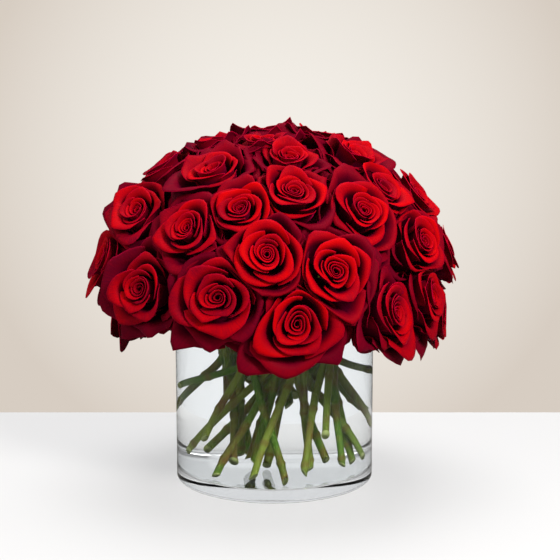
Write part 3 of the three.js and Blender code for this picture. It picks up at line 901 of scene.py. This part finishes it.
def clear_body(name, bend, ripple, painted_edge_share):
    """Glass or water, which lets the lamps' light straight through to what stands inside."""
    material, nodes, shader = new_material(name)
    # painted reflection: the glass is darker at glancing angles, standing in for the dark room that its
    # edges reflect
    glancing = nodes.add("ShaderNodeLayerWeight")
    edge = nodes.math("MULTIPLY", nodes.math("POWER", glancing.outputs["Facing"], 3.0), painted_edge_share)
    nodes.wire(nodes.blend(edge, CLEAR_TINT, PAINTED_EDGE_REFLECTION), shader.inputs["Base Color"])
    shader.inputs["Roughness"].default_value = 0.0
    shader.inputs["IOR"].default_value = bend
    shader.inputs["Transmission Weight"].default_value = 1.0
    shader.inputs["Specular Tint"].default_value = (0.15, 0.15, 0.15, 1)
    place = nodes.add("ShaderNodeTexCoord").outputs["Object"]
    nodes.bump(shader, nodes.noise(place, 18.0, 1.0), 0.15, ripple)
    path = nodes.add("ShaderNodeLightPath")
    passing = nodes.math("MAXIMUM", path.outputs["Is Shadow Ray"], path.outputs["Is Diffuse Ray"])
    clear = nodes.add("ShaderNodeBsdfTransparent")
    clear.inputs["Color"].default_value = (*(0.5 + 0.5 * channel for channel in CLEAR_TINT), 1)
    mixed = nodes.add("ShaderNodeMixShader")
    nodes.wire(passing, mixed.inputs[0])
    nodes.wire(shader.outputs[0], mixed.inputs[1])
    nodes.wire(clear.outputs[0], mixed.inputs[2])
    output = next(node for node in material.node_tree.nodes if node.type == "OUTPUT_MATERIAL")
    nodes.wire(mixed.outputs[0], output.inputs["Surface"])
    return material


# The stage: a pale table top that ends behind the vase, before a warm pale backdrop
FRAME_PIXELS = 560
SENSOR = 36
FOCAL_PIXELS = 1529
CAMERA_PLACE = Vector((5.1 * MM, -1.35, 0.419))
CAMERA_DROOP = 10.03
TABLE_BACK = 0.217
TABLE_FRONT = -1.2
TABLE_SIDE = 1.3
TABLE_GAP = 0.2 * MM
TABLE_GREY = (0.25, 0.25, 0.25, 1)
TABLE_LIGHT = (0.81, 0.82, 0.84, 1)  # the even light that the camera sees on the table, and its strength
TABLE_LIGHT_STRENGTH = 0.62
GLOW_HEIGHT = -0.10
GLOW_REACH = 0.20
GLOW_MIDDLE = (0.90, 0.86, 0.80)
GLOW_EDGE = (0.68, 0.61, 0.54)
BEHIND_GLASS = (0.86, 0.87, 0.89)
DIFFUSE_DIMMED = 0.3
MIRRORED_DIMMED = 0.9
# The lamps as (name, place, aim, size, watts, colour)
LAMPS = [
    ("key", (0.9, -1.5, 1.3), (0, 0, 0.22), 0.5, 52, (1.0, 0.97, 0.93)),
    ("fill", (-1.5, -1.0, 0.9), (0, 0, 0.2), 1.4, 12, (1.0, 0.98, 0.96)),
    ("overhead", (0, 0.3, 1.9), (0, 0, 0.2), 1.2, 34, (1.0, 1.0, 1.0)),
]


def build_stage():
    bm = bmesh.new()
    bmesh.ops.create_grid(bm, x_segments=1, y_segments=1, size=1)
    middle = (TABLE_BACK + TABLE_FRONT) / 2
    bmesh.ops.scale(bm, vec=(TABLE_SIDE, (TABLE_BACK - TABLE_FRONT) / 2, 1), verts=bm.verts[:])
    bmesh.ops.translate(bm, vec=(0, middle, -TABLE_GAP), verts=bm.verts[:])
    mesh = bpy.data.meshes.new("table_top")
    bm.to_mesh(mesh)
    bm.free()
    floor = bpy.data.objects.new("table_top", mesh)
    bpy.context.scene.collection.objects.link(floor)
    material, nodes, shader = new_material("pale_table")
    shader.inputs["Base Color"].default_value = TABLE_GREY
    shader.inputs["Roughness"].default_value = 0.5
    shader.inputs["Emission Color"].default_value = TABLE_LIGHT
    path = nodes.add("ShaderNodeLightPath")
    seen = nodes.math("MAXIMUM", path.outputs["Is Camera Ray"], path.outputs["Is Transmission Ray"])
    nodes.wire(nodes.math("MULTIPLY", seen, TABLE_LIGHT_STRENGTH), shader.inputs["Emission Strength"])
    mesh.materials.append(material)

    world = bpy.data.worlds.new("backdrop")
    bpy.context.scene.world = world
    world.use_nodes = True
    nodes = Nodes(world.node_tree)
    backdrop = world.node_tree.nodes["Background"]
    path = nodes.add("ShaderNodeLightPath")
    # a soft glow on the backdrop, round the way from the camera to the top of the bouquet
    split = nodes.add("ShaderNodeSeparateXYZ")
    nodes.wire(nodes.add("ShaderNodeTexCoord").outputs["Generated"], split.inputs[0])
    above = nodes.math("SUBTRACT", split.outputs["Z"], GLOW_HEIGHT)
    away = nodes.math("ADD", nodes.math("MULTIPLY", split.outputs["X"], split.outputs["X"]),
                      nodes.math("MULTIPLY", above, above))
    away = nodes.math("DIVIDE", away, GLOW_REACH ** 2, clamp=True)
    glow = nodes.blend(away, GLOW_MIDDLE, GLOW_EDGE)
    nodes.wire(nodes.blend(path.outputs["Is Transmission Ray"], glow, BEHIND_GLASS),
               backdrop.inputs["Color"])
    # what the glass mirrors is a dim room
    mirrored = nodes.math("SUBTRACT", path.outputs["Is Glossy Ray"], path.outputs["Is Transmission Ray"],
                          clamp=True)
    dimmed = nodes.math("ADD", nodes.math("MULTIPLY", path.outputs["Is Diffuse Ray"], DIFFUSE_DIMMED),
                        nodes.math("MULTIPLY", mirrored, MIRRORED_DIMMED))
    nodes.wire(nodes.math("SUBTRACT", 1.0, dimmed), backdrop.inputs["Strength"])


def add_lamp(name, place, aim, size, power, colour):
    lamp = bpy.data.lights.new(name, "AREA")
    lamp.size = size
    lamp.energy = power
    lamp.color = colour
    holder = bpy.data.objects.new(name, lamp)
    holder.location = place
    holder.rotation_euler = (Vector(aim) - Vector(place)).to_track_quat("-Z", "Y").to_euler()
    bpy.context.scene.collection.objects.link(holder)


def add_camera():
    camera = bpy.data.cameras.new("camera")
    camera.sensor_width = SENSOR
    camera.lens = FOCAL_PIXELS / FRAME_PIXELS * SENSOR
    holder = bpy.data.objects.new("camera", camera)
    holder.location = CAMERA_PLACE
    holder.rotation_euler = (math.radians(90 - CAMERA_DROOP), 0, 0)
    bpy.context.scene.collection.objects.link(holder)
    bpy.context.scene.camera = holder


roses = read_roses()
bunches = gather_bunches(roses)
place_neck(bunches)
for rose in roses:
    rose.line = stem_line(rose)
settle_stems(bunches)

grain = plant_grain_group()
petal_materials = [
    velvet_petal("petal_back", grain, CRIMSON, DARK_CRIMSON, PLUM, PINK_RIM, 0.4, 0.3),
    velvet_petal("petal_face", grain, BRIGHT_RED, DARK_CRIMSON, PLUM, PINK_RIM, 0.2, 0.1),
    velvet_petal("petal_rim", grain, BRIGHT_RED, CRIMSON, DARK_CRIMSON, PINK_RIM, 0.6, 0.2),
]
stem_material = green_stem(grain)
cut_material = pale_cut(grain)
for rose in roses:
    build_bloom(rose, petal_materials)
for number, bunch in enumerate(bunches, 1):
    build_stems(number, bunch, stem_material, cut_material)
build_vase(clear_body("clear_glass", GLASS_IOR, ripple=0.2 * MM, painted_edge_share=0.8))
build_water(clear_body("clear_water", WATER_IOR, ripple=0.1 * MM, painted_edge_share=0.0))

add_camera()
build_stage()
for lamp in LAMPS:
    add_lamp(*lamp)
bpy.context.scene.view_settings.view_transform = "Standard"
